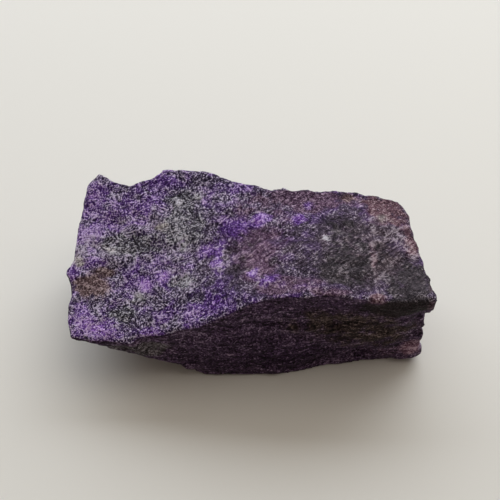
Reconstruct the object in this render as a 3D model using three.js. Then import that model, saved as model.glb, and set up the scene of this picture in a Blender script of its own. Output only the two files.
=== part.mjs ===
// A rough block of sugilite, the violet mineral, as it was broken out of its seam.
// It is one stone, so it is one solid: a slab held between a broad broken top and a rough
// underside, with layered broken sides. Millimetres, +Z up, the stone resting on its foot.
// +X runs along the stone, -Y is the side with the tall dark face, +Y the hidden back.
import * as THREE from 'three';
import { ParametricGeometry } from 'three/addons/geometries/ParametricGeometry.js';
import { ImprovedNoise } from 'three/addons/math/ImprovedNoise.js';
import { mergeVertices } from 'three/addons/utils/BufferGeometryUtils.js';

// The broken outline of the top, seen from above, counter-clockwise from the front left corner.
// lean is how far the foot of the side below stands in from the rim; negative stands out.
const OUTLINE = [
  { at: 'front left corner', x: -41.8, y: -21.9, lean: 4.0 },
  { at: 'front lip', x: -34.4, y: -23.0, lean: 2.2 },
  { at: 'front lip end', x: -25.8, y: -22.2, lean: 0.8 },
  { at: 'front step foot', x: -16.4, y: -21.7, lean: -0.2 },
  { at: 'front step', x: -10.2, y: -21.6, lean: -0.5 },
  { at: 'front step top', x: -4.0, y: -20.3, lean: -1.9 },
  { at: 'front rise', x: 1.6, y: -18.9, lean: -3.3 },
  { at: 'front crest left', x: 7.0, y: -18.5, lean: -3.4 },
  { at: 'front crest', x: 13.2, y: -18.6, lean: -2.4 },
  { at: 'front crest right', x: 18.8, y: -18.2, lean: -1.5 },
  { at: 'front shelf', x: 27.6, y: -19.3, lean: 1.0 },
  { at: 'front right face', x: 34.8, y: -19.4, lean: 2.2 },
  { at: 'front right corner', x: 43.4, y: -18.1, lean: 2.6 },
  { at: 'right edge', x: 43.0, y: -11.4, lean: 2.2 },
  { at: 'right middle', x: 41.2, y: -4.8, lean: 2.6 },
  { at: 'right hollow', x: 40.1, y: 1.2, lean: 2.8 },
  { at: 'right back edge', x: 40.2, y: 8.6, lean: 4.0 },
  { at: 'right back corner', x: 38.6, y: 13.0, lean: 4.4 },
  { at: 'back right', x: 29.6, y: 15.0, lean: 2.4 },
  { at: 'back right middle', x: 18.0, y: 14.9, lean: 1.2 },
  { at: 'back bump', x: 9.0, y: 15.2, lean: 1.0 },
  { at: 'back dip', x: 6.0, y: 14.1, lean: 0.2 },
  { at: 'back slope', x: -2.8, y: 17.8, lean: 2.4 },
  { at: 'back crest right', x: -10.0, y: 20.4, lean: 3.6 },
  { at: 'back crest', x: -20.4, y: 21.6, lean: 4.4 },
  { at: 'back notch right', x: -24.2, y: 19.5, lean: 2.4 },
  { at: 'back notch', x: -29.6, y: 17.9, lean: 1.2 },
  { at: 'back notch left', x: -33.6, y: 19.3, lean: 2.2 },
  { at: 'left back corner', x: -37.7, y: 21.1, lean: 4.4 },
  { at: 'left back edge', x: -40.2, y: 17.4, lean: 4.2 },
  { at: 'left upper edge', x: -41.4, y: 8.2, lean: 3.2 },
  { at: 'left middle', x: -42.4, y: -2.1, lean: 3.4 },
  { at: 'left knob', x: -43.8, y: -6.2, lean: 4.4 },
  { at: 'left hollow', x: -42.3, y: -11.4, lean: 3.2 },
  { at: 'left lower edge', x: -43.3, y: -17.6, lean: 4.4 },
];

// The top: its height along the front and the back edge, blended across the stone.
const TOP = {
  frontLow: 17.0,
  frontHigh: 29.5,
  riseStart: -28,
  riseEnd: 14,
  fallStart: 18,
  fallSlope: 0.1,
  backHigh: 28.0,
  backHighX: -8,
  backFall: 2.6 / 40 ** 2,
  frontY: -21,
  depth: 40,
};

// The underside: flat under the foot, bending up from it to the left, the back and the right.
const UNDER = {
  footLeft: -11.7,
  breakSlope: 1.0,
  breakHeight: 2.2,
  leftSlope: 0.46,
  leftSkew: 0.3,
  footFront: -21.5,
  footBack: 12.5,
  backSlope: 0.85,
  footRight: 39.5,
  rightSlope: 1.1,
  bend: 1,
};

// Hollows and lumps broken into the block: a soft dome of that reach and height, pushed along the face.
const MARKS = [
  { name: 'left trough, outer end', at: [-38.5, -10.5, 19.5], reach: 4.5, height: -1.1 },
  { name: 'left trough, inner end', at: [-32.5, -6.5, 21.0], reach: 4.5, height: -0.9 },
  { name: 'left knob', at: [-43.8, -6.2, 19.5], reach: 3.0, height: 0.5 },
  { name: 'left back knob', at: [-38.0, 19.0, 26.0], reach: 5.0, height: 0.7 },
  { name: 'front pit', at: [20.0, -18.8, 18.5], reach: 4.0, height: -1.3 },
  { name: 'front shelf, left half', at: [19.0, -18.6, 3.5], reach: 6.0, height: -1.2 },
  { name: 'front shelf, right half', at: [28.0, -17.6, 3.5], reach: 6.5, height: -1.3 },
  { name: 'front belly', at: [-2.0, -22.0, 7.0], reach: 9.0, height: 0.5 },
  { name: 'corner notch', at: [42.6, -17.2, 18.0], reach: 5.0, height: -1.7 },
  { name: 'corner lump', at: [40.5, -16.0, 4.0], reach: 6.5, height: 1.6 },
  { name: 'right scoop', at: [39.5, 2.0, 14.0], reach: 8.0, height: -1.4 },
  { name: 'back scoop', at: [5.0, 16.0, 16.0], reach: 9.0, height: -1.6 },
  { name: 'back shelf', at: [-16.0, 20.0, 10.0], reach: 8.0, height: -1.5 },
  { name: 'top saddle', at: [-6.0, -3.0, 26.0], reach: 13.0, height: -0.9 },
  { name: 'top swell', at: [20.0, -6.0, 28.0], reach: 14.0, height: 0.6 },
  { name: 'top left swell', at: [-22.0, 6.0, 25.0], reach: 11.0, height: 0.7 },
];

// The sheet of faces that wraps the stone, from under the foot, up the sides and over the top.
const STEP_ROUND = 1.75;
const SPINE = { left: -26, right: 24, y: -1.5, step: 2 };
const UNDER_ROWS = [1, 0.8, 0.6, 0.42, 0.26, 0.13, 0.05, 0];
const SIDE_ROWS = 13;
const TOP_ROWS = [0, 0.04, 0.11, 0.2, 0.3, 0.4, 0.5, 0.6, 0.7, 0.8, 0.9, 1];
const RIM_DROP = 0.45;
const SIDE_SWELL = 0.5;

// Broken-stone relief: broad lumps, smaller chips, and the ledges of the layers on the sides.
const LUMP = { size: 13, height: 0.55 };
const CHIP = { size: 5.2, height: 0.5 };
const LAYER = { thickness: 6.2, waver: 15, dip: 0.07, depth: 1.7, lip: 0.7, patch: 9 };
const CONTACT = { x: 3, y: -5, reach: 16, roughness: 0.9 };

const noise = new ImprovedNoise();
const { clamp, lerp, smoothstep } = THREE.MathUtils;

// Smooth noise from -1 to 1 over features of one size; offset picks another pattern.
function waves(p, size, offset) {
  return noise.noise(p.x / size + offset, p.y / size + offset * 1.7, p.z / size - offset);
}

function topHeight(x, y) {
  const rise = smoothstep(x, TOP.riseStart, TOP.riseEnd);
  const front = lerp(TOP.frontLow, TOP.frontHigh, rise) - TOP.fallSlope * Math.max(0, x - TOP.fallStart);
  const back = TOP.backHigh - TOP.backFall * (x - TOP.backHighX) ** 2;
  return lerp(front, back, (y - TOP.frontY) / TOP.depth);
}

function underHeight(x, y) {
  const leftOfFoot = UNDER.footLeft - x;
  const steep = UNDER.breakSlope * leftOfFoot;
  const gentle = UNDER.breakHeight + UNDER.leftSlope * leftOfFoot;
  const left = Math.min(steep, gentle) - UNDER.leftSkew * (y - UNDER.footFront);
  const back = UNDER.backSlope * (y - UNDER.footBack);
  const right = UNDER.rightSlope * (x - UNDER.footRight);
  const climb = Math.max(left, back, right);
  return Math.max(0, (climb + Math.hypot(climb, UNDER.bend) - UNDER.bend) / 2);
}

// Points round the outline at an even step, so that every named corner is one of them.
function walkOutline() {
  const points = [];
  OUTLINE.forEach((from, i) => {
    const to = OUTLINE[(i + 1) % OUTLINE.length];
    const steps = Math.ceil(Math.hypot(to.x - from.x, to.y - from.y) / STEP_ROUND);
    for (let k = 0; k < steps; k++) {
      const t = k / steps;
      points.push({ x: lerp(from.x, to.x, t), y: lerp(from.y, to.y, t), lean: lerp(from.lean, to.lean, t) });
    }
  });
  return points;
}

// The middle line that the top and the underside close on, at the place nearest an outline point.
function spineAt(point) {
  return { x: clamp(point.x, SPINE.left, SPINE.right), y: SPINE.y };
}

// A point between the outline and the middle line; on the line itself the two halves share their points.
function inwardPoint(point, share) {
  const spine = spineAt(point);
  const x = lerp(point.x, spine.x, share);
  const shared = Math.round(spine.x / SPINE.step) * SPINE.step;
  return { x: share === 1 ? shared : x, y: lerp(point.y, spine.y, share) };
}

// A point of a side: down from the rim by a share of its height, leaning in to its foot.
function sidePoint(point, share, target) {
  const spine = spineAt(point);
  const away = Math.hypot(point.x - spine.x, point.y - spine.y);
  const inward = point.lean * share - SIDE_SWELL * Math.sin(Math.PI * share);
  const x = point.x + ((spine.x - point.x) / away) * inward;
  const y = point.y + ((spine.y - point.y) / away) * inward;
  const foot = { x: point.x + ((spine.x - point.x) / away) * point.lean };
  foot.y = point.y + ((spine.y - point.y) / away) * point.lean;
  const rimHeight = topHeight(point.x, point.y) - RIM_DROP;
  target.set(x, y, lerp(rimHeight, underHeight(foot.x, foot.y), share));
}

// The whole skin as one sheet: round is along the outline, row climbs from under the foot to the top.
function wrapSheet() {
  const points = walkOutline();
  const rows = UNDER_ROWS.length + SIDE_ROWS + TOP_ROWS.length - 2;
  const foot = new THREE.Vector3();
  const place = (u, v, target) => {
    const point = points[Math.round(u * points.length) % points.length];
    const row = Math.round(v * rows);
    if (row < UNDER_ROWS.length - 1) {
      sidePoint(point, 1, foot);
      const { x, y } = inwardPoint(foot, UNDER_ROWS[row]);
      target.set(x, y, underHeight(x, y));
    } else if (row < UNDER_ROWS.length + SIDE_ROWS - 1) {
      sidePoint(point, 1 - (row - UNDER_ROWS.length + 1) / SIDE_ROWS, target);
    } else {
      const share = TOP_ROWS[row - UNDER_ROWS.length - SIDE_ROWS + 1];
      const { x, y } = inwardPoint(point, share);
      target.set(x, y, topHeight(x, y) - (share === 0 ? RIM_DROP : 0));
    }
  };
  return new ParametricGeometry(place, points.length, rows);
}

// One closed skin: shared points merged, and the faces that closed up on the spine left out.
function closeSkin(sheet) {
  sheet.deleteAttribute('normal');
  sheet.deleteAttribute('uv');
  const skin = mergeVertices(sheet, 1e-3);
  const faces = [];
  for (let i = 0; i < skin.index.count; i += 3) {
    const [a, b, c] = [0, 1, 2].map((k) => skin.index.getX(i + k));
    if (a !== b && b !== c && c !== a) faces.push(a, b, c);
  }
  skin.setIndex(faces);
  skin.computeVertexNormals();
  return skin;
}

function markHeight(p) {
  let height = 0;
  for (const mark of MARKS) {
    const distance = Math.hypot(p.x - mark.at[0], p.y - mark.at[1], p.z - mark.at[2]);
    height += mark.height * smoothstep(mark.reach - distance, 0, mark.reach);
  }
  return height;
}

// Steps of the layers on a broken side: each layer stands out most at its lip and tucks in above it.
function layerHeight(p) {
  const level = (p.z + LAYER.dip * (p.x + p.y)) / LAYER.thickness + 1.3 * waves(p, LAYER.waver, 7.3);
  const climb = level - Math.floor(level);
  const out = climb < LAYER.lip ? climb / LAYER.lip : (1 - climb) / (1 - LAYER.lip);
  const strength = smoothstep(waves(p, LAYER.patch, 17.1), -0.45, 0.35);
  return LAYER.depth * strength * (out - 0.5);
}

function reliefHeight(p, normal) {
  const lumps = LUMP.height * waves(p, LUMP.size, 3.1);
  const chips = CHIP.height * (0.4 - Math.abs(waves(p, CHIP.size, 11.9)) * 2);
  const side = 1 - smoothstep(Math.abs(normal.z), 0.35, 0.75);
  return lumps + chips + side * layerHeight(p) + markHeight(p);
}

// The worn underside: rough between flat patches that all lie in the plane that the stone rests on.
function contactHeight(p) {
  const fromPatch = Math.hypot(p.x - CONTACT.x, p.y - CONTACT.y);
  const rough = CONTACT.roughness * (waves(p, CHIP.size * 1.6, 5.7) + 0.15);
  return Math.max(0, rough) * smoothstep(fromPatch, CONTACT.reach * 0.6, CONTACT.reach);
}

function roughen(skin) {
  const position = skin.getAttribute('position');
  const normals = skin.getAttribute('normal').clone();
  const p = new THREE.Vector3();
  const normal = new THREE.Vector3();
  for (let i = 0; i < position.count; i++) {
    p.fromBufferAttribute(position, i);
    normal.fromBufferAttribute(normals, i);
    if (p.z < 0.01) {
      p.z = contactHeight(p);
    } else {
      p.addScaledVector(normal, reliefHeight(p, normal));
      p.z = Math.max(0, p.z);
    }
    position.setXYZ(i, p.x, p.y, p.z);
  }
}

// Moves the skin so that the origin is on the ground, under the middle of the stone's box.
function standOnOrigin(skin) {
  skin.computeBoundingBox();
  const middle = skin.boundingBox.getCenter(new THREE.Vector3());
  skin.translate(-middle.x, -middle.y, -skin.boundingBox.min.z);
}

function makeStone() {
  const skin = closeSkin(wrapSheet());
  roughen(skin);
  standOnOrigin(skin);
  skin.computeVertexNormals();
  const violetRock = new THREE.MeshStandardMaterial({ color: 0x52445c, roughness: 0.72, metalness: 0 });
  violetRock.name = 'violet rock';
  const stone = new THREE.Mesh(skin, violetRock);
  stone.name = 'stone';
  return stone;
}

const sugilite = new THREE.Group();
sugilite.add(makeStone());

export default sugilite;
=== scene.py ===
# Sugilite: the finished look of one rough broken stone, modelled over its solid.
import math

import bpy
import numpy as np
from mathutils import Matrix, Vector


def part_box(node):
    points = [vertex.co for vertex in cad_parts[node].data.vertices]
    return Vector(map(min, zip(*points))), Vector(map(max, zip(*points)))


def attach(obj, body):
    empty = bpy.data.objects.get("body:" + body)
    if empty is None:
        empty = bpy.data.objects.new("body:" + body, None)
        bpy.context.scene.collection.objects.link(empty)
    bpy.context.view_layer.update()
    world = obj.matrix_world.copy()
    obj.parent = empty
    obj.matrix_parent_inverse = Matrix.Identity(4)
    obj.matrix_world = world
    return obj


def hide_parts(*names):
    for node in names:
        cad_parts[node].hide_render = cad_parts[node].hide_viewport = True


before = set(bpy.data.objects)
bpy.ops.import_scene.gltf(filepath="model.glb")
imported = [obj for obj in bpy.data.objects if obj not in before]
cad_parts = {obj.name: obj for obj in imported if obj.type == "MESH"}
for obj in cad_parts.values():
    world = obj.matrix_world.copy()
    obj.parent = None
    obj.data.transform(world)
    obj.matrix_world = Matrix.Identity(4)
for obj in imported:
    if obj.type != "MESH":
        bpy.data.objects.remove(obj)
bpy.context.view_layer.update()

MM = 0.001

# Camera: where the photograph was taken from, in millimetres of the stone's frame
VIEW_TARGET = (0.65, 8.8, 12.0)
VIEW_ELEVATION = 52.0
VIEW_DISTANCE = 260.0
VIEW_LENS = 73.0
VIEW_SENSOR = 36.0
VIEW_NEAREST = 10.0

# Table and light, in millimetres: a wide window behind the stone, a pale ceiling and the soft room around
TABLE = {"size": 4000.0, "color": (224, 223, 217), "roughness": 0.6}
ROOM = {"color": (1.0, 0.84, 0.7, 1.0), "strength": 0.2}
LIGHT_AIM = (0, 0, 10)
LIGHTS = {
    "window behind": {
        "place": (18, 1035, 752), "size": (2700, 900), "power": 25.0, "color": (0.89, 0.94, 1.0)},
    "pale ceiling": {
        "place": (366, 211, 906), "size": (1000, 1000), "power": 3.4, "color": (1.0, 0.94, 0.86)},
}

# Skin: the size of its even faces and the shape of each kind of break, in millimetres
FACE_SIZE = 0.42
JOINING = 0.001
OUTSET = 0.35
HACKLY = {"size": 4.2, "height": 0.75, "depth": 3}
BROKEN = {"length": 13.0, "thickness": 7.5, "height": -4.0, "depth": 0, "middle": 0.22}
GRAINS = {"size": 1.1, "height": 0.34}
LEDGES = {"length": 11.0, "thickness": 1.6, "height": 0.5, "depth": 3}
FIBRES = {"length": 6.0, "thickness": 0.6, "height": 0.3, "depth": 2}
SMOOTHING = 0.5
SMOOTH_ROUNDS = {"soften facets": 3, "worn breaks": 4, "worn ledges": 3}

# Where each kind of break lies: from none of it to all of it, by the way a face looks and its place
FACING_UP = (0.35, 0.75)
FACING_FRONT = (-0.1, 0.5)
FACING_RIGHT = (0.2, 0.7)
NOT_FACING_DOWN = (-0.7, -0.2)
BEHIND_FRONT = (-16.0, -8.0)
FOOT_HEIGHT = 1.2
TOP_COLUMN = 2.5
TOP_DEPTH = 4.0
TOP_FADE = 1.4
BELOW_RIM = (0.5, 1.5)
RIGHT_END_WEAR = 0.85
HIDDEN_LAYERS = 0.5

# Places of each mineral, of paler and darker grain (the darker grain in the trough, the pocket and the front
# pit is painted shade), and of combed and softer grain:
# centre, reach along each axis and strength, in millimetres
PLACES = {
    "violet": {
        "left back knob": ((-38.0, 15.0, 25.5), (3.0, 5.0, 4.0), 1.35),
        "below the knob": ((-32.5, 14.0, 25.5), (2.5, 2.5, 4.0), 0.7),
        "left of the ash": ((-33.0, 8.5, 23.5), (3.5, 3.5, 4.0), 0.9),
        "notch edge": ((-25.5, 18.0, 27.0), (5.0, 2.5, 4.0), 0.8),
        "streak below the notch": ((-25.0, 10.5, 25.5), (2.0, 4.5, 4.0), 0.9),
        "left edge": ((-40.0, 5.0, 23.0), (4.0, 5.0, 4.0), 0.9),
        "left knob": ((-42.5, -5.5, 20.5), (2.5, 3.0, 4.0), 1.0),
        "upright stroke": ((-26.5, -3.0, 21.0), (1.0, 3.5, 3.0), 0.8),
        "round spot": ((-24.3, -8.4, 20.2), (1.4, 1.6, 2.0), 3.0),
        "second spot": ((-20.5, -6.3, 21.2), (2.0, 1.6, 2.0), 1.8),
        "inside the spots": ((-29.0, -11.0, 19.0), (2.5, 1.5, 3.0), 0.7),
        "front left upper": ((-39.5, -14.5, 18.0), (3.5, 3.5, 4.0), 0.8),
        "front left lower": ((-36.0, -19.0, 17.0), (6.0, 3.0, 4.0), 1.6),
        "left rim": ((-22.5, -20.0, 17.5), (7.0, 1.6, 3.0), 0.9),
        "front edge": ((-12.4, -17.8, 21.2), (2.6, 1.8, 3.0), 1.3),
        "deep by the edge": ((-7.5, -15.5, 23.5), (4.0, 4.5, 3.0), 1.0),
        "band, front": ((-7.0, -4.5, 24.5), (2.5, 4.0, 4.0), 0.85),
        "band, middle": ((-10.0, -1.0, 24.5), (3.0, 3.0, 4.0), 0.6),
        "band, back": ((-4.0, 4.0, 26.5), (6.0, 4.5, 4.0), 0.75),
        "small back": ((-10.0, 12.5, 26.5), (1.8, 2.0, 3.0), 0.8),
        "bright middle": ((3.5, 6.0, 27.7), (2.6, 2.0, 3.0), 1.9),
        "bright right": ((12.8, 5.8, 28.0), (1.7, 1.6, 3.0), 1.5),
        "behind bright right": ((15.0, 10.5, 27.5), (2.0, 2.0, 3.0), 0.5),
        "lump": ((1.3, -9.4, 26.7), (1.8, 1.5, 3.0), 0.9),
        "crest, left": ((4.5, -12.3, 27.8), (3.5, 1.8, 2.5), 0.9),
        "crest": ((11.0, -15.0, 29.0), (7.0, 1.8, 2.5), 0.4),
        "back, left": ((-28.0, 18.0, 19.0), (12.0, 6.0, 3.5), 1.0),
        "back, middle": ((0.0, 14.0, 19.0), (10.0, 6.0, 3.0), 0.9),
        "right end": ((39.0, 3.0, 14.0), (5.0, 5.0, 5.0), 1.0),
        "left end": ((-40.0, -8.0, 12.0), (5.0, 6.0, 4.0), 0.9),
        "deep on the front face": ((9.0, -20.5, 9.0), (14.0, 4.0, 6.0), 1.0),
    },
    "magenta": {
        "middle": ((2.0, 6.0, 27.0), (12.0, 9.0, 6.0), 0.65),
        "middle front": ((3.0, -6.0, 27.0), (9.0, 8.0, 6.0), 0.5),
        "back edge": ((10.0, 13.5, 27.5), (7.5, 3.0, 3.0), 1.0),
        "back edge right": ((22.0, 13.0, 27.0), (8.0, 3.2, 3.0), 0.9),
        "behind bright right": ((15.0, 10.5, 27.5), (3.5, 2.8, 3.0), 1.0),
        "front lump": ((2.5, -9.5, 27.0), (3.0, 2.5, 3.0), 1.0),
        "front rim": ((9.0, -14.5, 28.5), (9.0, 2.6, 3.0), 1.2),
        "front rim right": ((20.0, -16.8, 29.0), (5.0, 1.0, 3.0), 1.1),
    },
    "pink": {
        "back right corner": ((35.0, 9.0, 26.0), (6.0, 5.0, 4.0), 1.0),
        "back right edge": ((32.5, 13.0, 26.2), (5.5, 2.6, 3.0), 0.9),
        "low on the front": ((34.0, -18.0, 4.5), (9.0, 4.0, 3.5), 0.45),
        "right edge": ((39.5, 0.0, 26.0), (2.5, 6.0, 4.0), 0.9),
        "right corner rim": ((42.5, -15.0, 25.0), (1.5, 4.0, 3.0), 0.8),
        "front rim": ((29.8, -17.7, 28.0), (2.4, 1.2, 2.0), 1.2),
        "along the upright vein": ((29.8, -6.0, 27.5), (1.3, 10.0, 3.0), 0.5),
        "back, right": ((34.0, 12.0, 19.0), (5.0, 5.0, 5.0), 0.9),
        "lump at the foot": ((40.5, -17.0, 7.0), (2.8, 3.0, 3.0), 1.3),
    },
    "charcoal": {
        "right half": ((24.0, -3.0, 28.0), (15.0, 12.0, 6.0), 0.5),
        "behind the vein": ((23.5, 4.5, 27.5), (6.5, 4.0, 4.0), 0.4),
        "before the vein": ((22.0, -11.0, 28.5), (9.0, 5.0, 4.0), 0.8),
        "right corner": ((39.0, -12.5, 26.5), (5.5, 6.5, 4.0), 1.2),
        "smooth facet": ((34.0, -18.5, 24.5), (9.0, 4.0, 3.5), 1.2),
        "back, right": ((20.0, 13.0, 12.0), (14.0, 6.0, 4.5), 1.1),
        "right end, low": ((39.0, -4.0, 9.0), (5.0, 10.0, 4.0), 1.0),
    },
    "ash": {
        "middle": ((-15.5, 5.5, 25.0), (6.5, 7.0, 6.0), 1.1),
        "back": ((-15.5, 14.0, 26.5), (5.0, 3.5, 4.0), 0.8),
        "dark left": ((-29.5, 2.0, 22.5), (8.0, 4.5, 5.0), 1.0),
        "by the spots": ((-15.0, -8.5, 21.8), (4.5, 3.0, 4.0), 0.9),
        "front left": ((-29.5, -15.5, 18.2), (4.5, 3.0, 4.0), 1.0),
        "patch by the round spot": ((-25.6, -11.3, 19.2), (2.6, 1.8, 3.0), 0.9),
        "back face": ((-14.0, 17.0, 13.0), (12.0, 6.0, 4.0), 1.1),
        "left end": ((-41.0, 7.0, 15.0), (5.0, 6.0, 5.0), 0.9),
        "white speck left": ((-17.0, 12.2, 26.3), (0.8, 1.2, 2.0), 1.5),
        "white speck right": ((18.7, -0.5, 28.6), (1.1, 1.0, 2.0), 1.8),
        "left end of the front": ((-26.0, -22.0, 12.5), (9.0, 5.0, 3.0), 1.1),
    },
    "rust": {
        "trough outer end": ((-38.5, -8.0, 19.3), (3.8, 2.0, 3.0), 0.8),
        "trough inner end": ((-34.5, -4.3, 19.8), (2.8, 1.4, 3.0), 0.9),
        "below the trough": ((-36.0, -10.0, 18.8), (4.5, 2.2, 3.0), 0.8),
        "back": ((24.8, 14.0, 26.4), (2.4, 2.4, 3.0), 0.9),
        "back, low": ((-4.0, 13.0, 5.0), (16.0, 6.0, 2.6), 0.9),
        "between the trough ends": ((-37.0, -6.5, 19.5), (4.5, 2.8, 3.0), 0.7),
        "front, upper": ((18.0, -18.5, 20.0), (15.0, 4.0, 5.0), 0.6),
        "front, right": ((30.0, -18.0, 14.0), (15.0, 5.0, 7.0), 0.75),
    },
    "cream": {
        "left": ((-41.0, -1.8, 21.2), (2.2, 2.0, 3.0), 0.8),
        "warm left": ((-34.0, 1.0, 22.0), (2.6, 1.6, 3.0), 0.5),
        "warm middle": ((-21.0, 6.0, 24.9), (2.4, 2.4, 3.0), 0.5),
        "right back": ((33.0, 7.0, 26.4), (3.0, 2.2, 3.0), 0.5),
    },
    "pale": {
        "left edge": ((-39.0, 3.6, 22.8), (4.4, 5.0, 4.0), 1.0),
        "left, cream": ((-41.0, -1.8, 21.2), (2.6, 2.4, 3.0), 0.6),
        "warm left": ((-33.0, 0.0, 22.0), (4.4, 2.6, 3.0), 0.65),
        "behind the dark left": ((-24.0, 6.5, 24.5), (8.0, 3.6, 5.0), 0.4),
        "trough": ((-39.0, -6.5, 19.8), (4.0, 3.0, 3.0), 0.3),
        "warm middle": ((-21.4, 6.4, 25.0), (2.6, 2.6, 3.0), 0.4),
        "ash, back": ((-11.3, 15.2, 27.2), (3.6, 2.4, 3.0), 0.4),
        "ash, front": ((-17.5, -0.8, 23.0), (4.5, 2.6, 3.0), 0.7),
        "ash, middle": ((-16.0, 5.0, 25.0), (5.0, 3.5, 4.0), 0.35),
        "rim of the round spot": ((-24.3, -8.4, 20.2), (1.7, 1.9, 2.0), 0.8),
        "patch by the round spot": ((-25.6, -11.3, 19.2), (2.2, 1.5, 3.0), 0.9),
        "second spot": ((-20.2, -6.6, 21.2), (1.8, 1.5, 2.0), 0.9),
        "strokes by the band": ((-14.4, -8.0, 21.9), (3.2, 2.0, 3.0), 0.8),
        "band": ((-7.5, -5.0, 24.0), (1.6, 2.8, 3.0), 0.7),
        "lump": ((1.3, -9.4, 26.7), (2.0, 1.6, 3.0), 0.75),
        "middle": ((-1.0, -3.0, 26.0), (9.0, 8.0, 6.0), 0.35),
        "crest": ((7.0, -14.0, 28.5), (6.0, 1.6, 2.5), 0.08),
        "bright right": ((12.8, 5.8, 28.0), (1.6, 1.5, 3.0), 0.2),
        "below the lump": ((3.0, -13.3, 27.1), (3.0, 1.6, 3.0), 0.4),
        "front left upper": ((-39.6, -16.0, 17.5), (2.6, 2.6, 3.0), 0.5),
        "front left lower": ((-36.5, -19.0, 17.0), (5.0, 2.6, 4.0), 0.55),
        "front edge": ((-12.6, -17.4, 21.0), (1.8, 1.4, 3.0), 0.6),
        "bright middle": ((3.5, 6.0, 27.7), (2.2, 1.8, 3.0), 0.2),
        "white speck left": ((-17.0, 12.2, 26.3), (0.7, 1.3, 2.0), 2.4),
        "white speck right": ((18.7, -0.5, 28.6), (1.0, 0.9, 2.0), 2.8),
        "small speck": ((29.8, -1.8, 27.2), (0.7, 0.7, 2.0), 1.0),
        "foot of the vein": ((31.3, -11.2, 27.5), (2.4, 4.0, 3.0), 0.35),
        "fan": ((37.7, -1.6, 26.4), (2.5, 2.6, 3.0), 0.55),
        "right, cream": ((33.5, 7.0, 26.4), (3.0, 2.2, 3.0), 0.2),
        "right, behind the fan": ((31.0, 4.0, 27.0), (5.0, 3.6, 4.0), 0.4),
        "lump at the foot": ((40.5, -17.5, 5.0), (3.5, 3.0, 3.5), 0.8),
    },
    "dark": {
        "left of the ash": ((-26.5, 3.2, 23.0), (5.0, 2.8, 5.0), 0.4),
        # Painted shade in the trough and at its ends
        "trough outer end": ((-39.0, -7.0, 19.7), (2.5, 1.2, 3.0), 0.2),
        "trough": ((-35.0, -4.6, 19.8), (2.6, 1.2, 3.0), 0.25),
        "trough inner end": ((-30.8, -4.5, 20.2), (2.6, 1.6, 3.0), 0.5),
        "heart of the round spot": ((-24.3, -8.4, 20.2), (0.6, 0.8, 2.0), 0.2),
        "front left": ((-29.5, -14.2, 18.5), (3.4, 2.2, 3.0), 0.2),
        # Painted shade in the pocket
        "pocket": ((-14.0, -13.2, 21.4), (1.3, 1.8, 3.0), 0.7),
        "deep violet": ((-7.5, -14.5, 23.5), (3.5, 3.5, 3.0), 0.6),
        "beside the lump": ((-2.8, -8.0, 25.5), (2.0, 2.2, 3.0), 0.5),
        "behind the lump": ((-1.7, -1.2, 26.0), (2.6, 2.0, 3.0), 0.35),
        "band, back": ((-3.5, 4.5, 26.5), (5.0, 4.0, 4.0), 0.3),
        "before the bright middle": ((9.0, 1.5, 27.5), (4.0, 2.0, 3.0), 0.3),
        "right back": ((20.0, 5.0, 27.7), (3.6, 2.4, 3.0), 0.3),
        # Darker along the back rim of the top
        "back rim, left": ((-24.0, 18.5, 27.0), (10.0, 2.6, 4.0), 0.6),
        "behind the ash": ((-18.0, 14.5, 26.5), (5.0, 2.8, 4.0), 0.4),
        "back rim, middle": ((-8.0, 18.6, 27.5), (9.0, 2.0, 4.0), 0.5),
        "back rim, right": ((8.0, 15.0, 27.5), (9.0, 1.6, 4.0), 0.4),
        "back rim, end": ((27.0, 15.0, 26.5), (12.0, 1.6, 4.0), 0.45),
        # Darker low on the front face, towards the table
        "front face, low": ((9.0, -20.5, 6.0), (18.0, 4.0, 7.0), 0.3),
        # Painted shade in the front pit
        "front pit": ((21.5, -17.5, 17.0), (5.0, 3.5, 2.5), 0.3),
    },
    "combed": {
        "right half": ((29.0, -4.0, 28.0), (17.0, 17.0, 9.0), 1.1),
        "middle": ((1.0, -4.0, 26.5), (14.0, 11.0, 7.0), 0.9),
        "smooth facet": ((34.0, -18.5, 24.5), (9.0, 4.0, 3.5), 0.1),
        "right end": ((41.0, 0.0, 12.0), (8.0, 16.0, 12.0), 0.7),
        "back, right": ((30.0, 14.0, 12.0), (15.0, 6.0, 10.0), 0.7),
    },
    "soft": {
        "middle": ((0.0, -4.0, 26.0), (13.0, 11.0, 7.0), 0.5),
        "front crest": ((14.0, -15.0, 28.5), (15.0, 4.0, 4.0), 0.9),
        "back right": ((26.0, 11.0, 27.0), (17.0, 6.0, 5.0), 0.9),
        "right corner": ((39.0, -12.5, 26.5), (6.0, 6.0, 5.0), 1.3),
        "round spot": ((-24.3, -8.4, 20.2), (1.5, 1.7, 2.0), 1.2),
        "second spot": ((-20.3, -6.5, 21.2), (1.8, 1.5, 2.0), 1.0),
        "trough": ((-37.0, -7.0, 19.5), (4.5, 3.0, 3.0), 1.0),
    },
}
PLACE_FALLOFF = 1.2

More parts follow.
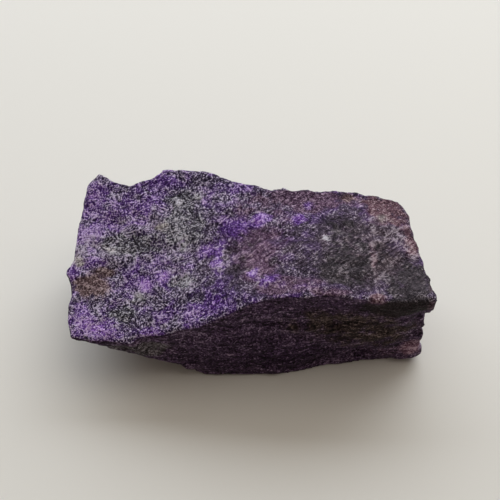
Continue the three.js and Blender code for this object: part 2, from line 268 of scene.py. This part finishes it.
# Pale veins on the top: the points each passes through, seen from above, its width and its strength
VEINS = {
    "upright vein, back": (((31.0, 11.5), (30.5, 4.0), (30.0, -1.5)), 0.36, 0.55),
    "upright vein, front": (((30.0, -1.5), (29.5, -8.0), (29.5, -13.0), (30.0, -17.0)), 0.36, 0.6),
    "crest": (((1.4, -9.9), (3.4, -11.9), (5.7, -13.2), (8.2, -14.3), (12.7, -15.8)), 0.8, 0.25),
    "crest, right": (((12.7, -15.8), (17.3, -16.4), (21.8, -17.1)), 0.6, 0.2),
    "fan, outer ray": (((35.5, 4.0), (38.5, 0.0), (40.5, -3.5)), 0.5, 1.0),
    "fan, middle ray": (((34.0, 2.5), (37.5, -1.5), (39.5, -5.5)), 0.4, 0.8),
    "fan, inner ray": (((31.0, 0.5), (35.5, 3.0), (39.0, 5.5)), 0.5, 0.8),
    "slanting ray": (((30.5, -12.0), (33.5, -8.0), (35.5, -4.5)), 0.5, 0.6),
    "second slanting ray": (((21.0, -11.5), (25.0, -6.5), (27.5, -3.0)), 0.45, 0.5),
    "across the back": (((20.5, 2.5), (25.0, 1.0), (29.5, 1.5)), 0.5, 0.5),
}
VEIN_BELOW_TOP = 2.0

# Colours of each mineral from its darkest grain to its lightest, as seen on a screen
STOPS = (0.0, 0.25, 0.5, 0.75, 1.0)
LILAC_GREY = ((33, 23, 46), (68, 55, 84), (96, 81, 114), (134, 118, 153), (222, 210, 236))
MAUVE_GREY = ((34, 25, 31), (56, 45, 52), (74, 62, 69), (98, 85, 92), (144, 131, 138))
TOP_COLORS = {
    "ash": ((33, 29, 38), (63, 58, 71), (89, 84, 99), (125, 120, 136), (214, 210, 222)),
    "charcoal": ((31, 26, 32), (52, 46, 52), (69, 62, 69), (91, 83, 90), (138, 129, 136)),
    "magenta": ((45, 26, 46), (78, 54, 79), (101, 75, 101), (130, 104, 129), (174, 150, 172)),
    "pink": ((48, 26, 38), (85, 57, 70), (107, 77, 89), (132, 103, 113), (178, 155, 164)),
    "violet": ((48, 21, 78), (83, 46, 125), (113, 72, 159), (149, 111, 194), (220, 195, 240)),
    "rust": ((56, 40, 44), (89, 68, 73), (115, 92, 97), (141, 117, 122), (192, 171, 174)),
    "cream": ((70, 60, 64), (112, 102, 106), (140, 130, 133), (170, 160, 162), (228, 221, 221)),
}
BRIGHT_VIOLET = ((74, 32, 112), (116, 66, 162), (148, 98, 196), (178, 134, 220), (222, 192, 242))
SIDE_PLAIN = ((22, 11, 25), (60, 44, 67), (79, 60, 86), (102, 81, 109), (170, 149, 177))
SIDE_COLORS = {
    "ash": ((25, 22, 24), (62, 56, 60), (81, 74, 80), (102, 95, 102), (156, 149, 156)),
    "violet": ((17, 7, 20), (46, 29, 51), (61, 42, 69), (79, 58, 88), (134, 111, 145)),
    "rust": ((18, 10, 10), (48, 37, 37), (65, 52, 52), (83, 69, 68), (136, 120, 117)),
    "charcoal": ((15, 11, 13), (33, 26, 29), (41, 33, 37), (52, 44, 48), (90, 81, 86)),
    "pink": ((44, 24, 36), (90, 62, 78), (112, 79, 98), (136, 101, 121), (190, 160, 178)),
}

# Marks in the rock, in millimetres: sheaves of strokes by sheaf, length and width, hairs by size and thinness
SHEAVES = {"broad": (3.0, 2.2, 0.62), "coarse": (1.3, 1.0, 0.36), "fine": (1.7, 1.7, 0.25)}
SHEAF_APART = 40.0
STROKE_EDGES = (0.38, 0.68)
HOOKS = ((1.1, 0.1), (1.8, 0.07))
CHAINS = (4.5, 0.06)
HAIR_PIECES = {"apart": (31.0, 17.0, 5.0), "size": 0.8, "edges": (0.42, 0.58)}
SLANT = -42.0
SLANTED = {"slanted": ((0.9, 0.27, 0.27), 1.0), "streaks": ((2.4, 0.5, 0.5), 2.0)}
SLANTED_EDGES = (0.38, 0.66)
BLOTCH_SIZE = 2.6
CLUMPS = {"size": 3.4, "edges": (0.36, 0.64)}
VEIN_PIECES = {"size": 1.2, "edges": (0.1, 0.5)}
LAYER_BEND = {"size": 14.0, "reach": 3.0}
LAYERS = {
    "strata": ((13.0, 13.0, 1.7), 2.0),
    "long fibres": ((3.0, 3.0, 0.42), 2.0),
    "short fibres": ((0.9, 0.9, 0.3), 1.0),
}
THREADS = {"spread": (5.0, 5.0, 0.7), "thin": 0.09}
SPECKLE = (0.4, 1.0)
CRYSTAL_SIZE = 0.42
GRAIN_SIZE = 0.8
CLOUD = (5.0, 3.0, 0.6)
PATCHES = {"patch": (5.0, 2.0), "spots": (2.4, 1.0), "ragged": (1.1, 2.0)}

# How much each mark weighs in the light and dark of a face, and the middle it swings about
COMMON_MIDDLE = 0.5
MIDDLES = {
    "broad": 0.45, "coarse": 0.45, "fine": 0.45, "slanted": 0.45, "streaks": 0.45,
    "hooks": 0.15, "chains": 0.15, "threads": 0.15,
}
SUGARY = {
    "start": 0.485,
    "marks": {
        "broad": 0.15, "coarse": 0.2, "fine": 1.0, "crystal": 0.2,
        "hooks": 0.85, "slanted": 0.75, "chains": 0.25, "cloud": 0.2,
    },
    "least": 0.9,
    "clumping": 0.2,
}
COMBED = {
    "start": 0.43,
    "marks": {
        "streaks": 0.55, "broad": 0.5, "coarse": 0.25, "fine": 0.15,
        "crystal": 0.15, "hooks": 0.2, "blotches": 0.6, "cloud": 0.3,
    },
    "least": 0.78,
    "clumping": 0.44,
}
SOFT = {"most": 1.2, "share": 0.4, "grain": 0.4}
TOP_SHADES = {"pale": 0.5, "dark": -0.6}
VEIN_LIGHT = 0.7
LAYERED_FACE = {
    "start": 0.0,
    "marks": {
        "strata": 1.0, "long fibres": 1.2, "short fibres": 1.4, "speckle": 1.7,
        "crystal": 0.6, "threads": 0.3, "cloud": 0.7,
    },
}
SIDE_START = 0.45
SIDE_COMBING = -0.6
SIDE_SHADES = {"pale": 0.4, "dark": -0.6}
PLACE_EDGE = {"start": 0.0, "marks": {"patch": 1.0, "spots": 1.8, "ragged": 0.9}}
OWN_VIOLET = {"start": 0.0, "marks": {"patch": 2.4, "spots": 1.2, "ragged": 0.5}}

# How minerals meet: from none of one to all of it
OWN_VIOLET_STEP = (-0.3, 0.45)
OWN_VIOLET_COMBING = -0.9
OWN_VIOLET_ON_SIDES = 0.7
PLACE_RAGGEDNESS = 1.2
MINERAL_STEP = (0.2, 0.8)
BRIGHT_STEP = (0.9, 1.6)
LAYERED_RAGGEDNESS = 1.2
LAYERED_STEP = (0.3, 0.7)

# Finish: how round the grains stand, and how the broken rock shines
ROUNDNESS = {"big grains": -0.6, "small grains": -0.35, "strokes": 0.9}
BUMP_STRENGTH = 0.8
BUMP_HEIGHT = 0.4
ROUGHNESS = (0.45, 0.9)
SPECULAR = 0.12


def place_camera():
    elevation = math.radians(VIEW_ELEVATION)
    back = Vector((0, -math.cos(elevation), math.sin(elevation))) * VIEW_DISTANCE
    bpy.ops.object.camera_add(
        location=(Vector(VIEW_TARGET) + back) * MM,
        rotation=(math.pi / 2 - elevation, 0, 0),
    )
    camera = bpy.context.object
    camera.data.lens = VIEW_LENS
    camera.data.sensor_width = VIEW_SENSOR
    camera.data.clip_start = VIEW_NEAREST * MM
    bpy.context.scene.camera = camera


def copy_solid_stone():
    """A copy of the solid with its loose triangles joined, free of the frame's marks."""
    bpy.ops.object.select_all(action="DESELECT")
    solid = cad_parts["stone"]
    solid.select_set(True)
    bpy.context.view_layer.objects.active = solid
    bpy.ops.object.duplicate()
    skin = bpy.context.object
    skin.name = "stone_skin"
    skin.data.name = "stone_skin"
    skin.parent = None
    for mark in [key for key in skin.keys() if key.startswith("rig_")]:
        del skin[mark]
    bpy.ops.object.mode_set(mode="EDIT")
    bpy.ops.mesh.select_all(action="SELECT")
    bpy.ops.mesh.remove_doubles(threshold=JOINING * MM)
    bpy.ops.object.mode_set(mode="OBJECT")
    return skin


def apply_modifier(piece, kind, name, **settings):
    modifier = piece.modifiers.new(name, kind)
    for setting, value in settings.items():
        setattr(modifier, setting, value)
    bpy.context.view_layer.objects.active = piece
    bpy.ops.object.modifier_apply(modifier=name)


def smooth(skin, name, group=""):
    rounds = SMOOTH_ROUNDS[name]
    apply_modifier(skin, "SMOOTH", name, factor=SMOOTHING, iterations=rounds, vertex_group=group)


def soft_step(low, high, values):
    share = np.clip((values - low) / (high - low), 0.0, 1.0)
    return share * share * (3 - 2 * share)


def read_points(skin, what):
    values = np.empty(len(skin.data.vertices) * 3)
    skin.data.vertices.foreach_get(what, values)
    return values.reshape(-1, 3)


def store(skin, name, values):
    """Keeps one number for each point of the skin, for the material to read."""
    skin.data.attributes.new(name, "FLOAT", "POINT")
    skin.data.attributes[name].data.foreach_set("value", values)


def height_below_top(points):
    """How far each point lies below the highest point of the stone near it."""
    columns = np.floor(points[:, :2] / (TOP_COLUMN * MM)).astype(int)
    columns -= columns.min(axis=0) - 1
    tallest = np.zeros(columns.max(axis=0) + 2)
    np.maximum.at(tallest, tuple(columns.T), points[:, 2])
    around = [np.roll(tallest, (i, j), (0, 1)) for i in (-1, 0, 1) for j in (-1, 0, 1)]
    return np.max(around, axis=0)[tuple(columns.T)] - points[:, 2]


def mark_faces(skin):
    """Groups for the relief: grainy top, layered sides, broken back and ends, and all but the foot."""
    top = skin.vertex_groups.new(name="grainy top")
    side = skin.vertex_groups.new(name="layered sides")
    broken = skin.vertex_groups.new(name="broken sides")
    rough = skin.vertex_groups.new(name="rough")
    points = read_points(skin, "co")
    normals = read_points(skin, "normal")
    below_top = height_below_top(points)
    tops = soft_step(*FACING_UP, normals[:, 2])
    tops *= soft_step(TOP_FADE * TOP_DEPTH * MM, TOP_DEPTH * MM, below_top)
    front = soft_step(*FACING_FRONT, -normals[:, 1])
    off_foot = soft_step(0.0, FOOT_HEIGHT * MM, points[:, 2])
    worn = off_foot * (1 - RIGHT_END_WEAR * soft_step(*FACING_RIGHT, normals[:, 0]))
    hidden = soft_step(*(place * MM for place in BEHIND_FRONT), points[:, 1])
    hidden *= soft_step(*(share * TOP_DEPTH * MM for share in BELOW_RIM), below_top)
    upright = soft_step(*NOT_FACING_DOWN, normals[:, 2])
    breaks = (1 - tops) * (1 - front) * hidden * off_foot * upright
    for point in range(len(points)):
        top.add([point], tops[point], "REPLACE")
        side.add([point], (1 - tops[point]) * worn[point], "REPLACE")
        broken.add([point], breaks[point], "REPLACE")
        rough.add([point], worn[point], "REPLACE")
    store(skin, "layered", (1 - tops) * (HIDDEN_LAYERS + (1 - HIDDEN_LAYERS) * front))


def layer_grid(name, relief):
    """An empty as long and as thick as one break, to stretch a texture along the layers."""
    bpy.ops.object.empty_add(location=(0, 0, 0))
    grid = bpy.context.object
    grid.name = name
    length = relief["length"] * MM
    grid.scale = (length, length, relief["thickness"] * MM)
    bpy.context.view_layer.update()
    return grid


def displace(skin, name, texture, relief, group):
    """Pushes the skin in and out by a texture, within one group of its points."""
    settings = {
        "texture": texture,
        "strength": relief["height"] * MM,
        "mid_level": relief.get("middle", COMMON_MIDDLE),
        "vertex_group": group,
    }
    grid = None
    if "length" in relief:
        grid = layer_grid(name + " grid", relief)
        settings["texture_coords"] = "OBJECT"
        settings["texture_coords_object"] = grid
    apply_modifier(skin, "DISPLACE", name, **settings)
    if grid:
        bpy.data.objects.remove(grid)


def cloud_texture(name, relief):
    """Hard-edged noise at its own size, or at the size of the grid that stretches it."""
    texture = bpy.data.textures.new(name, "CLOUDS")
    texture.noise_scale = relief["size"] * MM if "size" in relief else 1.0
    texture.noise_depth = relief["depth"]
    texture.noise_type = "HARD_NOISE"
    return texture


def grain_texture(name, relief):
    """Rounded grains, each highest in its middle."""
    texture = bpy.data.textures.new(name, "VORONOI")
    texture.noise_scale = relief["size"] * MM
    texture.weight_1 = -1.0
    texture.weight_2 = 1.0
    return texture


def break_surface(skin):
    """Gives the skin its breaks, grains, ledges and fibres, and keeps it inside the solid's box."""
    apply_modifier(skin, "DISPLACE", "outset", strength=OUTSET * MM, mid_level=0.0, vertex_group="rough")
    displace(skin, "hackly breaks", cloud_texture("hackly breaks", HACKLY), HACKLY, "rough")
    displace(skin, "broken faces", cloud_texture("broken faces", BROKEN), BROKEN, "broken sides")
    smooth(skin, "worn breaks", "broken sides")
    displace(skin, "grains", grain_texture("grains", GRAINS), GRAINS, "grainy top")
    displace(skin, "ledges", cloud_texture("ledges", LEDGES), LEDGES, "layered sides")
    smooth(skin, "worn ledges", "layered sides")
    displace(skin, "fibres", cloud_texture("fibres", FIBRES), FIBRES, "layered sides")
    points = np.clip(read_points(skin, "co"), *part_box("stone"))
    skin.data.vertices.foreach_set("co", points.ravel())
    skin.data.update()


def paint_places(skin):
    """Stores how strongly each list of places acts on each point of the skin."""
    points = read_points(skin, "co") / MM
    for name, places in PLACES.items():
        amounts = np.zeros(len(points))
        for centre, reach, strength in places.values():
            away = (((points - centre) / reach) ** 2).sum(axis=1)
            amounts += strength * np.exp(-PLACE_FALLOFF * away)
        store(skin, name, amounts)


def paint_veins(skin):
    """Stores how near each point of the top lies to a vein."""
    points = read_points(skin, "co") / MM
    amounts = np.zeros(len(points))
    for route, width, strength in VEINS.values():
        nearest = np.full(len(points), np.inf)
        for start, end in zip(route, route[1:]):
            along = np.subtract(end, start)
            from_start = points[:, :2] - start
            share = np.clip(from_start @ along / (along @ along), 0.0, 1.0)
            nearest = np.minimum(nearest, np.linalg.norm(from_start - share[:, None] * along, axis=1))
        amounts = np.maximum(amounts, strength * np.exp(-(nearest / width) ** 2))
    on_top = soft_step(2 * VEIN_BELOW_TOP, VEIN_BELOW_TOP, height_below_top(points * MM) / MM)
    store(skin, "vein", amounts * on_top)


def linear(color):
    """Screen colour from 0 to 255 as the light that a shader works in."""
    return tuple((c / 255 / 12.92) if c <= 10 else ((c / 255 + 0.055) / 1.055) ** 2.4 for c in color)


class Maker:
    """Adds shader nodes to a tree and links them in one step."""

    def __init__(self, tree):
        self.tree = tree

    def node(self, kind, inputs=(), **settings):
        node = self.tree.nodes.new(kind)
        for setting, value in settings.items():
            setattr(node, setting, value)
        for socket, value in dict(inputs).items():
            self.feed(node.inputs[socket], value)
        return node

    def feed(self, socket, value):
        if isinstance(value, bpy.types.NodeSocket):
            self.tree.links.new(value, socket)
        else:
            socket.default_value = value

    def math(self, operation, first, second=0.0):
        return self.node("ShaderNodeMath", {0: first, 1: second}, operation=operation).outputs[0]

    def vector(self, operation, first, second):
        return self.node("ShaderNodeVectorMath", {0: first, 1: second}, operation=operation).outputs[0]

    def scale(self, vector, factor):
        return self.node("ShaderNodeVectorMath", {0: vector, "Scale": factor}, operation="SCALE").outputs[0]

    def noise(self, vector, size, detail=2.0, roughness=0.5):
        return self.node("ShaderNodeTexNoise", {
            "Vector": vector, "Scale": 1.0 / size, "Detail": detail, "Roughness": roughness})

    def stretched_noise(self, vector, spread, detail):
        return self.noise(self.vector("DIVIDE", vector, spread), 1.0, detail).outputs[0]

    def cells(self, vector, size):
        return self.node("ShaderNodeTexVoronoi", {"Vector": vector, "Scale": 1.0 / size})

    def step(self, value, low, high):
        return self.node("ShaderNodeMapRange", {
            "Value": value, "From Min": low, "From Max": high}, interpolation_type="SMOOTHSTEP").outputs[0]

    def mix(self, share, first, second):
        node = self.node("ShaderNodeMix", data_type="RGBA")
        for socket, value in ((0, share), (6, first), (7, second)):
            self.feed(node.inputs[socket], value)
        return node.outputs[2]

    def blend(self, share, first, second):
        node = self.node("ShaderNodeMix", data_type="FLOAT")
        for socket, value in ((0, share), (2, first), (3, second)):
            self.feed(node.inputs[socket], value)
        return node.outputs[0]

    def ramp(self, value, colors):
        node = self.node("ShaderNodeValToRGB", {"Fac": value})
        elements = node.color_ramp.elements
        while len(elements) < len(colors):
            elements.new(1.0)
        for element, place, color in zip(elements, STOPS, colors):
            element.position = place
            element.color = (*linear(color), 1.0)
        return node.outputs[0]

    def total(self, start, parts):
        """The sum of a start and, for each part, its weight times its distance from its middle."""
        result = start - sum(weight * middle for _, weight, middle in parts)
        for part, weight, middle in parts:
            node = self.node("ShaderNodeMath", {0: part, 1: weight, 2: result}, operation="MULTIPLY_ADD")
            result = node.outputs[0]
        return result

    def weigh(self, marks, face):
        """The light and dark of one kind of face, from the marks that it shows."""
        weights = face["marks"].items()
        parts = [(marks[name], weight, MIDDLES.get(name, COMMON_MIDDLE)) for name, weight in weights]
        return self.total(face["start"], parts)

    def attribute(self, name):
        return self.node("ShaderNodeAttribute", attribute_name=name).outputs["Fac"]

    def shades(self, weights):
        """The paler and darker places, as parts of a total."""
        return [(self.attribute(name), weight, 0.0) for name, weight in weights.items()]


def felted_group():
    """Short strokes of crystal, each little sheaf of them lying its own way."""
    tree = bpy.data.node_groups.new("felted strokes", "ShaderNodeTree")
    face = tree.interface
    face.new_socket("Place", in_out="INPUT", socket_type="NodeSocketVector")
    for name in ("Sheaf Size", "Length", "Width"):
        face.new_socket(name, in_out="INPUT", socket_type="NodeSocketFloat")
    face.new_socket("Strokes", in_out="OUTPUT", socket_type="NodeSocketFloat")
    make = Maker(tree)
    inside = make.node("NodeGroupInput").outputs
    sheaf = make.cells(inside["Place"], 1.0)
    make.feed(sheaf.inputs["Scale"], make.math("DIVIDE", 1.0, inside["Sheaf Size"]))
    from_middle = make.vector("SUBTRACT", inside["Place"], sheaf.outputs["Position"])
    turn = make.scale(sheaf.outputs["Color"], 2 * math.pi)
    turned = make.node("ShaderNodeVectorRotate", {"Vector": from_middle, "Rotation": turn},
                       rotation_type="EULER_XYZ").outputs[0]
    spread = make.node("ShaderNodeCombineXYZ", {
        "X": inside["Length"], "Y": inside["Width"], "Z": inside["Width"]}).outputs[0]
    stretched = make.vector("DIVIDE", turned, spread)
    apart = make.vector("ADD", stretched, make.scale(sheaf.outputs["Color"], SHEAF_APART))
    strokes = make.noise(apart, 1.0, 1.0).outputs[0]
    make.node("NodeGroupOutput", {"Strokes": make.step(strokes, *STROKE_EDGES)})
    return tree


def felted(make, tree, place, sheaf, length, width):
    group = make.node("ShaderNodeGroup", node_tree=tree)
    make.feed(group.inputs["Place"], place)
    for socket, value in (("Sheaf Size", sheaf), ("Length", length), ("Width", width)):
        group.inputs[socket].default_value = value
    return group.outputs["Strokes"]


def hairs(make, place, size, thin):
    """Thin bent hairs of crystal: the lines where a noise passes its middle, broken into short pieces."""
    noise = make.noise(place, size, 1.0).outputs[0]
    off_middle = make.math("ABSOLUTE", make.math("SUBTRACT", noise, COMMON_MIDDLE))
    elsewhere = make.vector("ADD", place, HAIR_PIECES["apart"])
    breaks = make.noise(elsewhere, HAIR_PIECES["size"] * size).outputs[0]
    pieces = make.step(breaks, *HAIR_PIECES["edges"])
    return make.math("MULTIPLY", make.step(off_middle, thin, 0.0), pieces)


def top_grain(make, place, marks, combed):
    """Light and dark of the top: sugary felted strokes on the left, smoother combed streaks on the right."""
    strokes_group = felted_group()
    for name, shape in SHEAVES.items():
        marks[name] = felted(make, strokes_group, place, *shape)
    marks["hooks"] = make.math("MAXIMUM", *(hairs(make, place, *shape) for shape in HOOKS))
    marks["chains"] = hairs(make, place, *CHAINS)
    turned = make.node("ShaderNodeVectorRotate", {"Vector": place, "Angle": math.radians(SLANT)},
                       rotation_type="Z_AXIS").outputs[0]
    for name, (spread, detail) in SLANTED.items():
        marks[name] = make.step(make.stretched_noise(turned, spread, detail), *SLANTED_EDGES)
    marks["blotches"] = make.noise(place, BLOTCH_SIZE).outputs[0]

    clump = make.step(make.noise(place, CLUMPS["size"]).outputs[0], *CLUMPS["edges"])
    faces = []
    for face in (SUGARY, COMBED):
        clumped = make.total(face["least"], [(clump, face["clumping"], 0.0)])
        faces.append(make.math("MULTIPLY", make.weigh(marks, face), clumped))
    grain = make.blend(combed, *faces)
    softness = make.math("MINIMUM", make.attribute("soft"), SOFT["most"])
    grain = make.blend(make.math("MULTIPLY", softness, SOFT["share"]), grain, SOFT["grain"])

    pieces = make.step(make.noise(place, VEIN_PIECES["size"]).outputs[0], *VEIN_PIECES["edges"])
    vein = make.math("MULTIPLY", make.attribute("vein"), pieces)
    return make.total(0.0, [(grain, 1.0, 0.0), *make.shades(TOP_SHADES), (vein, VEIN_LIGHT, 0.0)])


def side_fibre(make, place, marks, combed):
    """Light and dark of the sides: thin fibres along the layers, broken by the same crystals."""
    swirl = make.noise(place, LAYER_BEND["size"]).outputs[1]
    off_middle = make.vector("SUBTRACT", swirl, (COMMON_MIDDLE, COMMON_MIDDLE, COMMON_MIDDLE))
    bent = make.vector("ADD", place, make.scale(off_middle, LAYER_BEND["reach"]))
    for name, (spread, detail) in LAYERS.items():
        marks[name] = make.stretched_noise(bent, spread, detail)
    marks["speckle"] = make.noise(place, *SPECKLE).outputs[0]
    marks["threads"] = hairs(make, make.vector("DIVIDE", bent, THREADS["spread"]), 1.0, THREADS["thin"])
    contrast = make.total(1.0, [(combed, SIDE_COMBING, 0.0)])
    fibre = make.math("MULTIPLY", make.weigh(marks, LAYERED_FACE), contrast)
    return make.total(SIDE_START, [(fibre, 1.0, 0.0), *make.shades(SIDE_SHADES)])


def violet_rock():
    material = bpy.data.materials.new("violet rock")
    material.use_nodes = True
    tree = material.node_tree
    tree.nodes.clear()
    make = Maker(tree)

    place = make.scale(make.node("ShaderNodeTexCoord").outputs["Object"], 1 / MM)
    crystals = make.cells(place, CRYSTAL_SIZE).outputs
    crystal = make.node("ShaderNodeSeparateColor", {"Color": crystals["Color"]}).outputs[0]
    marks = {"crystal": crystal, "cloud": make.noise(place, *CLOUD).outputs[0]}
    for name, (size, detail) in PATCHES.items():
        marks[name] = make.noise(place, size, detail).outputs[0]
    combed = make.math("MINIMUM", make.attribute("combed"), 1.0)
    grain = top_grain(make, place, marks, combed)
    fibre = side_fibre(make, place, marks, combed)

    # Plain rock, with violet patches of its own where no place is named
    own_violet = make.step(make.weigh(marks, OWN_VIOLET), *OWN_VIOLET_STEP)
    scattered = make.math("MULTIPLY", own_violet, make.total(1.0, [(combed, OWN_VIOLET_COMBING, 0.0)]))
    plain = make.mix(combed, make.ramp(grain, LILAC_GREY), make.ramp(grain, MAUVE_GREY))
    top = make.mix(scattered, plain, make.ramp(grain, TOP_COLORS["violet"]))
    side = make.mix(make.math("MULTIPLY", own_violet, OWN_VIOLET_ON_SIDES),
                    make.ramp(fibre, SIDE_PLAIN), make.ramp(fibre, SIDE_COLORS["violet"]))

    # The minerals of the named places, with ragged edges
    ragged = make.total(1.0, [(make.weigh(marks, PLACE_EDGE), PLACE_RAGGEDNESS, 0.0)])
    for mineral, colors in TOP_COLORS.items():
        amount = make.math("MULTIPLY", make.attribute(mineral), ragged)
        share = make.step(amount, *MINERAL_STEP)
        top = make.mix(share, top, make.ramp(grain, colors))
        if mineral in SIDE_COLORS:
            side = make.mix(share, side, make.ramp(fibre, SIDE_COLORS[mineral]))
        if mineral == "violet":
            top = make.mix(make.step(amount, *BRIGHT_STEP), top, make.ramp(grain, BRIGHT_VIOLET))

    # Rounded grains on the top that catch the light along their upper rims, fibres on the sides
    rounded = make.total(0.0, [
        (make.cells(place, GRAIN_SIZE).outputs["Distance"], ROUNDNESS["big grains"], 0.0),
        (crystals["Distance"], ROUNDNESS["small grains"], 0.0),
        (grain, ROUNDNESS["strokes"], 0.0)])
    layered = make.total(0.0, [
        (make.attribute("layered"), 1.0, 0.0), (marks["patch"], LAYERED_RAGGEDNESS, COMMON_MIDDLE)])
    layered = make.step(layered, *LAYERED_STEP)
    relief = make.blend(layered, rounded, fibre)
    bump = make.node("ShaderNodeBump", {
        "Height": relief, "Strength": BUMP_STRENGTH, "Distance": BUMP_HEIGHT * MM})
    roughness = make.node("ShaderNodeMapRange", {
        "Value": crystal, "To Min": ROUGHNESS[0], "To Max": ROUGHNESS[1]})
    shader = make.node("ShaderNodeBsdfPrincipled", {
        "Base Color": make.mix(layered, top, side), "Roughness": roughness.outputs[0],
        "Specular IOR Level": SPECULAR, "Normal": bump.outputs[0]})
    make.node("ShaderNodeOutputMaterial", {"Surface": shader.outputs[0]})
    return material


def make_stone():
    skin = copy_solid_stone()
    apply_modifier(skin, "REMESH", "even skin", mode="VOXEL", voxel_size=FACE_SIZE * MM)
    smooth(skin, "soften facets")
    mark_faces(skin)
    break_surface(skin)
    paint_places(skin)
    paint_veins(skin)
    bpy.ops.object.select_all(action="DESELECT")
    skin.select_set(True)
    bpy.context.view_layer.objects.active = skin
    bpy.ops.object.shade_smooth()
    skin.data.materials.clear()
    skin.data.materials.append(violet_rock())
    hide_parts("stone")
    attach(skin, "root")


def plain_material(name, color, roughness):
    material = bpy.data.materials.new(name)
    material.use_nodes = True
    shader = material.node_tree.nodes["Principled BSDF"]
    shader.inputs["Base Color"].default_value = (*linear(color), 1.0)
    shader.inputs["Roughness"].default_value = roughness
    return material


def make_stage():
    bpy.ops.mesh.primitive_plane_add(size=TABLE["size"] * MM, location=(0, 0, 0))
    table = bpy.context.object
    table.name = "pale_table"
    table.data.materials.append(plain_material("pale table", TABLE["color"], TABLE["roughness"]))


def add_light(name, place, size, power, color):
    bpy.ops.object.light_add(type="AREA", location=Vector(place) * MM)
    light = bpy.context.object
    light.name = name
    light.data.shape = "RECTANGLE"
    light.data.size, light.data.size_y = (edge * MM for edge in size)
    light.data.energy = power
    light.data.color = color
    direction = (Vector(LIGHT_AIM) - Vector(place)).normalized()
    light.rotation_euler = direction.to_track_quat("-Z", "Y").to_euler()


def light_stage():
    scene = bpy.context.scene
    scene.view_settings.view_transform = "Standard"
    world = bpy.data.worlds.new("soft room")
    world.use_nodes = True
    background = world.node_tree.nodes["Background"]
    background.inputs["Color"].default_value = ROOM["color"]
    background.inputs["Strength"].default_value = ROOM["strength"]
    scene.world = world
    for name, light in LIGHTS.items():
        add_light(name, **light)


place_camera()
make_stone()
make_stage()
light_stage()
